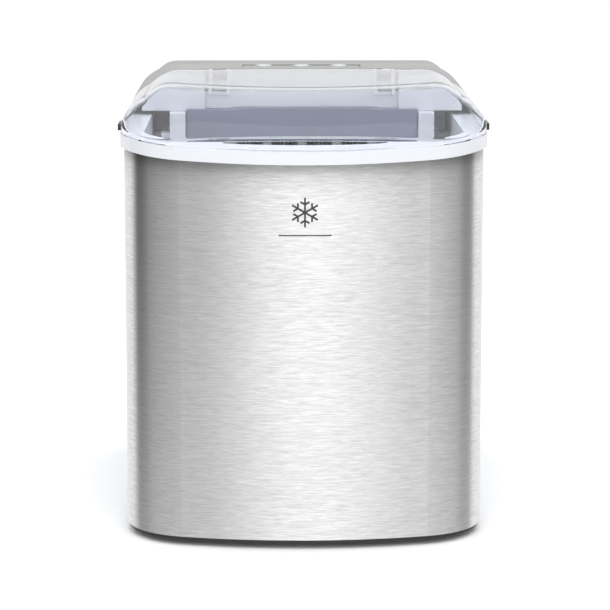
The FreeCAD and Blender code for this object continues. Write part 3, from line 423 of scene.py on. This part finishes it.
# Cones that take the front slope and the rear corners: middle, base radius, base height, slope.
FRONT_CONE = (BOW_Y, 349.0, 252.3, 0.4291)
REAR_CONE = (20.0, 184.3, 274.2, 0.61)


def section_height(x):
    """Height of the dome across its width."""
    x = abs(x)
    if x > SHOULDER_X:
        return circle_height(*SHOULDER, min(x, SKIRT_X))
    return circle_height(*SOFT_EDGE, x) if x > CROWN_X else circle_height(*CROWN, x)


def profile_height(y):
    """Height of the dome along its depth."""
    start, level = CROWN_FRONT
    if y < start:
        return level + (y - start) * (level - NOSE[1]) / (start - NOSE[0])
    if y < CROWN_BACK[0]:
        return circle_height(*ALONG, y)
    return circle_height(*FALL, min(y, REAR_EDGE[0]))


def cone_height(cone, x, y):
    middle, radius, base, slope = cone
    return base + (radius - math.hypot(x, y - middle)) * slope


def soft_min(a, b, width):
    """The lower of two heights, with the crease between them rounded over."""
    blend = max(width - abs(a - b), 0.0) / width
    return min(a, b) - blend * blend * width / 4


# How widely the creases between the dome's faces are rounded over.
PROFILE_CREASE = 2.0
REAR_CREASE = 4.0
FRONT_CREASE = 4.4


def dome_height(x, y):
    """Height of the domed top over a point of the plan."""
    top = soft_min(section_height(x), profile_height(y), PROFILE_CREASE)
    top = soft_min(top, cone_height(REAR_CONE, x, y), REAR_CREASE)
    return soft_min(top, cone_height(FRONT_CONE, x, y), FRONT_CREASE)


def seat_height(y):
    """Upper face of the collar, which dips towards the front."""
    run = min(y - DIP_START, 0.0)
    return COLLAR_TOP - DIP_RADIUS + math.sqrt(DIP_RADIUS**2 - run**2)


def arc_points(cx, cy, radius, start, stop, count):
    """Points on an arc; angles in degrees from +X, turning from start to stop."""
    made = []
    for i in range(count + 1):
        turn = math.radians(start + (stop - start) * i / count)
        made.append((cx + radius * math.cos(turn), cy + radius * math.sin(turn)))
    return made


def straight(a, b, count):
    return [(a[0] + (b[0] - a[0]) * i / count, a[1] + (b[1] - a[1]) * i / count)
            for i in range(count + 1)]


def joined(*runs):
    """Runs of points as one path, without the doubled ends."""
    path = list(runs[0])
    for run in runs[1:]:
        path += run[1:]
    return path


BEND = math.degrees(math.atan2(CORNER_X, BOW_Y - CORNER_Y))


def front_path(out):
    """The lid's plan edge: left side, front corner, bow, front corner, right side."""
    half = HALF_WIDTH + out
    corner = CORNER + out
    bow = FRONT_BOW + out
    left = straight((-half, LID_REAR), (-half, CORNER_Y), 56)
    left_corner = arc_points(-CORNER_X, CORNER_Y, corner, 180, 270 - BEND, 40)
    front = arc_points(0, BOW_Y, bow, 270 - BEND, 270 + BEND, 84)
    right_corner = arc_points(CORNER_X, CORNER_Y, corner, 270 + BEND, 360, 40)
    right = straight((half, CORNER_Y), (half, LID_REAR), 56)
    return joined(left, left_corner, front, right_corner, right)


def rear_path(out):
    """The rear cover's plan edge: right side, rear corner, back, rear corner, left side."""
    half = HALF_WIDTH + out
    corner = REAR_CORNER + out
    back = REAR_Y + out
    right = straight((half, COVER_FRONT), (half, REAR_Y - REAR_CORNER), 60)
    right_corner = arc_points(half - corner, back - corner, corner, 0, 90, 20)
    rear = straight((half - corner, back), (corner - half, back), 100)
    left_corner = arc_points(corner - half, back - corner, corner, 90, 180, 20)
    left = straight((-half, REAR_Y - REAR_CORNER), (-half, COVER_FRONT), 60)
    return joined(right, right_corner, rear, left_corner, left)


# Distances in from the plan edge at which the rounded top of the skirt is modelled.
EDGE_STEPS = (0.0, 0.06, 0.25, 0.6, 1.1, 1.7, 2.4)
INNER_SHARE = 0.4


def edge_drop(inward, radius):
    """How far the rounded skirt edge lies under the unrounded dome."""
    reach = min(inward / radius, 1.0)
    return radius * (1 - math.sqrt(1 - (1 - reach) ** 2))


def shell_columns(path, meet_y, meet_half, shell, sink, share):
    """Columns of points up the skirt and in to the edge at meet_y; sink lowers the dome."""
    gap, rows, skirt_rows = shell
    radius = EDGE_STEPS[-1] * share
    side = 1 if path[-1][0] > 0 else -1
    vertices = []
    for i, (x, y) in enumerate(path):
        aim = Vector((side * (2 * i / (len(path) - 1) - 1) * meet_half - x, meet_y - y))
        reach = aim.length
        low = seat_height(y) + gap
        high = dome_height(x, y) - radius - sink
        for j in range(skirt_rows):
            vertices.append((x, y, low + (high - low) * j / skirt_rows))
        steps = [step * share for step in EDGE_STEPS]
        for j in range(1, rows + 1):
            t = j / rows
            steps.append(radius + (reach - radius) * (t + t * t) / 2)
        for step in steps:
            px = x + aim.x * step / reach
            py = y + aim.y * step / reach
            vertices.append((px, py, dome_height(px, py) - edge_drop(step, radius) - sink))
    return vertices


def shell_faces(count, tall):
    """Quads of the outer skin, the inner skin and the rims that join them."""
    inner = count * tall
    faces = []
    for i in range(count - 1):
        for j in range(tall - 1):
            a = i * tall + j
            faces.append((a, a + tall, a + tall + 1, a + 1))
            faces.append((inner + a + 1, inner + a + tall + 1, inner + a + tall, inner + a))
        for j in (0, tall - 1):
            a = i * tall + j
            faces.append((a, inner + a, inner + a + tall, a + tall))
    for i in (0, count - 1):
        for j in range(tall - 1):
            a = i * tall + j
            faces.append((a, a + 1, inner + a + 1, inner + a))
    return faces


def shell_mesh(name, path_at, meet_y, meet_half, shell):
    """A domed shell with its wall, from its plan edge up the skirt and in to meet_y."""
    outside = path_at(LID_OUT)
    inside = path_at(LID_OUT - WALL)
    vertices = shell_columns(outside, meet_y, meet_half, shell, 0.0, 1.0)
    vertices += shell_columns(inside, meet_y, meet_half, shell, WALL, INNER_SHARE)
    tall = shell[2] + len(EDGE_STEPS) + shell[1]
    mesh = bpy.data.meshes.new(name)
    mesh.from_pydata([Vector(v) * MM for v in vertices], [], shell_faces(len(outside), tall))
    work = bmesh.new()
    work.from_mesh(mesh)
    bmesh.ops.recalc_face_normals(work, faces=work.faces)
    work.to_mesh(mesh)
    work.free()
    return mesh


def piece(name, mesh, material, body):
    """Link a mesh as a named piece that rides on a body."""
    thing = bpy.data.objects.new(name, mesh)
    bpy.context.scene.collection.objects.link(thing)
    mesh.materials.append(MATERIALS[material])
    for polygon in mesh.polygons:
        polygon.use_smooth = True
    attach(thing, body)
    return thing


def break_edges(thing, width):
    """Softly break a piece's sharp edges."""
    edge = thing.modifiers.new("edge_radius", "BEVEL")
    edge.width = width * MM
    edge.segments = 2
    edge.limit_method = "ANGLE"
    edge.angle_limit = math.radians(50)


def fixed(thing):
    """Apply the modifiers, so that the mesh can be worked on further."""
    graph = bpy.context.evaluated_depsgraph_get()
    made = bpy.data.meshes.new_from_object(thing.evaluated_get(graph))
    thing.modifiers.clear()
    old = thing.data
    thing.data = made
    bpy.data.meshes.remove(old)


def block_mesh(name, low, high, radius):
    """A block with rounded upright corners, for cutting an opening."""
    (x0, y0, z0), (x1, y1, z1) = low, high
    outline = joined(
        arc_points(x1 - radius, y1 - radius, radius, 0, 90, 6),
        arc_points(x0 + radius, y1 - radius, radius, 90, 180, 6),
        arc_points(x0 + radius, y0 + radius, radius, 180, 270, 6),
        arc_points(x1 - radius, y0 + radius, radius, 270, 360, 6),
    )
    work = bmesh.new()
    ring = [work.verts.new(Vector((x, y, z0)) * MM) for x, y in outline]
    base = work.faces.new(ring)
    made = bmesh.ops.extrude_face_region(work, geom=[base])
    moved = [v for v in made["geom"] if isinstance(v, bmesh.types.BMVert)]
    bmesh.ops.translate(work, verts=moved, vec=(0, 0, (z1 - z0) * MM))
    bmesh.ops.recalc_face_normals(work, faces=work.faces)
    mesh = bpy.data.meshes.new(name)
    work.to_mesh(mesh)
    work.free()
    return mesh


def cut_away(thing, cutters):
    """Take the cutters' volumes out of a piece."""
    for mesh in cutters:
        cutter = bpy.data.objects.new(mesh.name, mesh)
        bpy.context.scene.collection.objects.link(cutter)
        boolean = thing.modifiers.new("cut", "BOOLEAN")
        boolean.operation = "DIFFERENCE"
        boolean.solver = "EXACT"
        boolean.object = cutter
        bpy.context.view_layer.update()
        fixed(thing)
        bpy.data.objects.remove(cutter)


# Gap under the skirt, then the counts of rows over the dome and up the skirt.
LID_SHELL = (LID_GAP, 84, 7)
COVER_SHELL = (COVER_GAP, 84, 8)
COVER_MEET = 84.0


def make_lid():
    mesh = shell_mesh("clear_lid_shell", front_path, LID_REAR, CROWN_X, LID_SHELL)
    lid = piece("clear_lid_shell", mesh, "clear_lid", "lid_body")
    break_edges(lid, 0.45)
    lid.visible_shadow = False
    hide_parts("lid")


INSET_LOW = (-42.0, 30.5, 270)
INSET_HIGH = (42.0, 60.5, 310)
INSET_CORNER = 1.5
NOTCH_STARTS = (-66, 49)
NOTCH_WIDE = 17
NOTCH_CORNER = 0.6


def make_rear_cover():
    """The silver cover, with its openings for the control strip and the two hinges."""
    mesh = shell_mesh("rear_top_cover", rear_path, COVER_FRONT, COVER_MEET, COVER_SHELL)
    cover = piece("rear_top_cover", mesh, "silver_plastic", "root")
    inset = block_mesh("inset_cut", INSET_LOW, INSET_HIGH, INSET_CORNER)
    notches = [block_mesh("notch_cut", (x, 8.0, 288), (x + NOTCH_WIDE, 13.3, 308), NOTCH_CORNER)
               for x in NOTCH_STARTS]
    cut_away(cover, [inset, *notches])
    break_edges(cover, 0.35)
    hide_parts("rear_cover")


EAR_MIDDLES = (-59.0, 59.0)
EAR_RADIUS = 2.35
EAR_LONG = 5.8


def make_lid_ears():
    """The lid's two hinge knuckles, turned about the pins."""
    ears = bpy.data.meshes.new("lid_hinge_ears")
    work = bmesh.new()
    for x in EAR_MIDDLES:
        bmesh.ops.create_cone(work, cap_ends=True, segments=40, radius1=EAR_RADIUS * MM,
                              radius2=EAR_RADIUS * MM, depth=EAR_LONG * MM)
        for v in work.verts:
            if v.tag:
                continue
            v.co = Vector((v.co.z, v.co.y, v.co.x))
            v.co += Vector((x, HINGE_Y, HINGE_Z)) * MM
            v.tag = True
    bmesh.ops.recalc_face_normals(work, faces=work.faces)
    work.to_mesh(ears)
    work.free()
    knuckles = piece("lid_hinge_ears", ears, "clear_lid", "lid_body")
    bevel = knuckles.modifiers.new("edge_radius", "BEVEL")
    bevel.width = 0.3 * MM
    bevel.segments = 2
    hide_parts("lid")


def lathe(name, profile, centres, steps=64):
    """Turn a (radius, height) profile about Z at each centre."""
    vertices = []
    faces = []
    for cx, cy, cz in centres:
        first = len(vertices)
        for radius, height in profile:
            for i in range(steps):
                turn = 2 * math.pi * i / steps
                vertices.append(Vector((cx + radius * math.cos(turn), cy + radius * math.sin(turn),
                                        cz + height)) * MM)
        for j in range(len(profile) - 1):
            for i in range(steps):
                a = first + j * steps + i
                b = first + j * steps + (i + 1) % steps
                faces.append((a, b, b + steps, a + steps))
    mesh = bpy.data.meshes.new(name)
    mesh.from_pydata(vertices, [], faces)
    return mesh


BUTTON_Y = 46.5
BUTTON_PITCH = 26.8
DECK = 298.4
BEZEL = [(5.5, -0.8), (5.5, 0.3), (5.65, 0.62), (5.95, 0.9), (6.3, 1.0), (6.65, 0.85), (6.85, 0.5),
         (6.9, 0.1), (6.9, -0.4)]
CAP = [(3.5, -7.4), (3.5, -4.2), (5.05, -4.0), (5.08, 0.5), (4.95, 1.1), (4.6, 1.5), (4.1, 1.72),
       (3.4, 1.6), (2.6, 1.35), (1.7, 1.15), (0.8, 1.05), (0.02, 1.02)]


def make_buttons():
    centres = [(i * BUTTON_PITCH, BUTTON_Y, DECK) for i in (-1, 0, 1)]
    rings = piece("button_rings", lathe("button_rings", BEZEL, centres), "chrome", "root")
    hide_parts("button_bezels")
    for centre, side in zip(centres, ("left", "middle", "right")):
        name = "button_cap_" + side
        cap = piece(name, lathe(name, CAP, [centre]), "button_face", "button_%s_body" % side)
        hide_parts("button_" + side)


# ---------------------------------------------------------------- studio


def make_floor():
    bpy.ops.mesh.primitive_grid_add(x_subdivisions=4, y_subdivisions=4, size=30, location=(0, 0, 0))
    floor = bpy.context.object
    floor.name = "floor"
    material, tree, shader = new_material("paper_floor")
    fibre = noise(tree, stretched(tree, (1, 1, 1)), 300.0, 3.0, 0.5)
    tree.links.new(ramp(tree, fibre, (0.3, 0.93), (0.7, 0.96)), shader.inputs["Base Color"])
    shader.inputs["Roughness"].default_value = 0.9
    shader.inputs["Specular IOR Level"].default_value = 0.1
    floor.data.materials.append(material)
    floor.visible_glossy = False


# How bright the studio is by compass angle, in degrees from the front; right is positive.
SURROUND = ((-180, 0.90), (-145, 0.95), (-130, 0.95), (-121, 0.55), (-113, 0.06), (-104, 0.02),
            (-95, 0.06), (-83, 0.20), (-65, 0.28), (-41, 0.36), (-27, 0.48), (-20, 0.72),
            (-13, 1.02), (-6, 1.28), (0, 1.38), (6, 1.38), (14, 1.22), (21, 1.02), (28, 0.80),
            (41, 0.62), (65, 0.48), (83, 0.38), (95, 0.20), (105, 0.20), (114, 0.30), (122, 0.85),
            (130, 1.0), (180, 0.90))
BRIGHTEST = 1.4
BENCH_GREY = (0.72, 0.72, 0.72)
OVERHEAD_GREY = (0.85, 0.86, 0.88)


def surroundings(tree):
    """Colour of the studio by compass angle, greyer towards the bench and overhead."""
    place = separated(tree, "Generated")
    forward = maths(tree, "MULTIPLY", place["Y"], -1.0)
    turn = maths(tree, "ARCTAN2", place["X"], forward.outputs[0])
    around = mapped(tree, turn.outputs[0], -math.pi, math.pi, 0.0, 1.0)
    stops = [((angle + 180) / 360, level / BRIGHTEST) for angle, level in SURROUND]
    wall = ramp(tree, around, *stops)
    under = mapped(tree, place["Z"], -0.40, -0.17, 1.0, 0.0)
    height = mapped(tree, place["Z"], 0.25, 0.7, 0.0, 1.0)
    return faded(tree, height, faded(tree, under, wall, BENCH_GREY), OVERHEAD_GREY)


def background(tree, strength):
    node = tree.nodes.new("ShaderNodeBackground")
    node.inputs["Strength"].default_value = strength
    return node


def make_world():
    """Surroundings bright in front and dim at the sides; straight views see plain white."""
    world = bpy.data.worlds.new("studio")
    bpy.context.scene.world = world
    world.use_nodes = True
    tree = world.node_tree
    tree.nodes.clear()
    lit = background(tree, BRIGHTEST)
    tree.links.new(surroundings(tree), lit.inputs["Color"])
    seen = background(tree, 1.0)
    seen.inputs["Color"].default_value = (1, 1, 1, 1)
    path = tree.nodes.new("ShaderNodeLightPath")
    direct = maths(tree, "MAXIMUM", path.outputs["Is Camera Ray"], path.outputs["Is Transmission Ray"])
    choose = tree.nodes.new("ShaderNodeMixShader")
    tree.links.new(direct.outputs[0], choose.inputs["Fac"])
    tree.links.new(lit.outputs[0], choose.inputs[1])
    tree.links.new(seen.outputs[0], choose.inputs[2])
    output = tree.nodes.new("ShaderNodeOutputWorld")
    tree.links.new(choose.outputs[0], output.inputs["Surface"])


def add_softbox(name, place, aim, size, power):
    """An area light that lights surfaces but isn't mirrored in them."""
    light = bpy.data.lights.new(name, "AREA")
    light.shape = "RECTANGLE"
    light.size, light.size_y = size
    light.energy = power
    thing = bpy.data.objects.new(name, light)
    bpy.context.scene.collection.objects.link(thing)
    thing.location = place
    thing.rotation_euler = (Vector(aim) - Vector(place)).to_track_quat("-Z", "Y").to_euler()
    thing.visible_glossy = False


def make_lights():
    add_softbox("overhead", (0, -0.2, 2.4), (0, 0, 0), (3.2, 3.2), 30)
    add_softbox("front_fill", (0, -2.6, 1.5), (0, 0, 0.15), (1.6, 1.2), 12)


CAMERA_PLACE = (-0.021, -1.8676, 0.449)
CAMERA_TILT = 80.42
CAMERA_TURN = -0.708
CAMERA_LENS = 158.1


def make_camera():
    data = bpy.data.cameras.new("camera")
    data.lens = CAMERA_LENS
    data.sensor_width = 36.0
    camera = bpy.data.objects.new("camera", data)
    bpy.context.scene.collection.objects.link(camera)
    camera.location = CAMERA_PLACE
    camera.rotation_euler = (math.radians(CAMERA_TILT), 0.0, math.radians(CAMERA_TURN))
    bpy.context.scene.camera = camera


bpy.context.scene.view_settings.view_transform = "Standard"
finish_frame()
soften_edges()
make_lid()
make_lid_ears()
make_rear_cover()
make_buttons()
make_floor()
make_world()
make_lights()
make_camera()
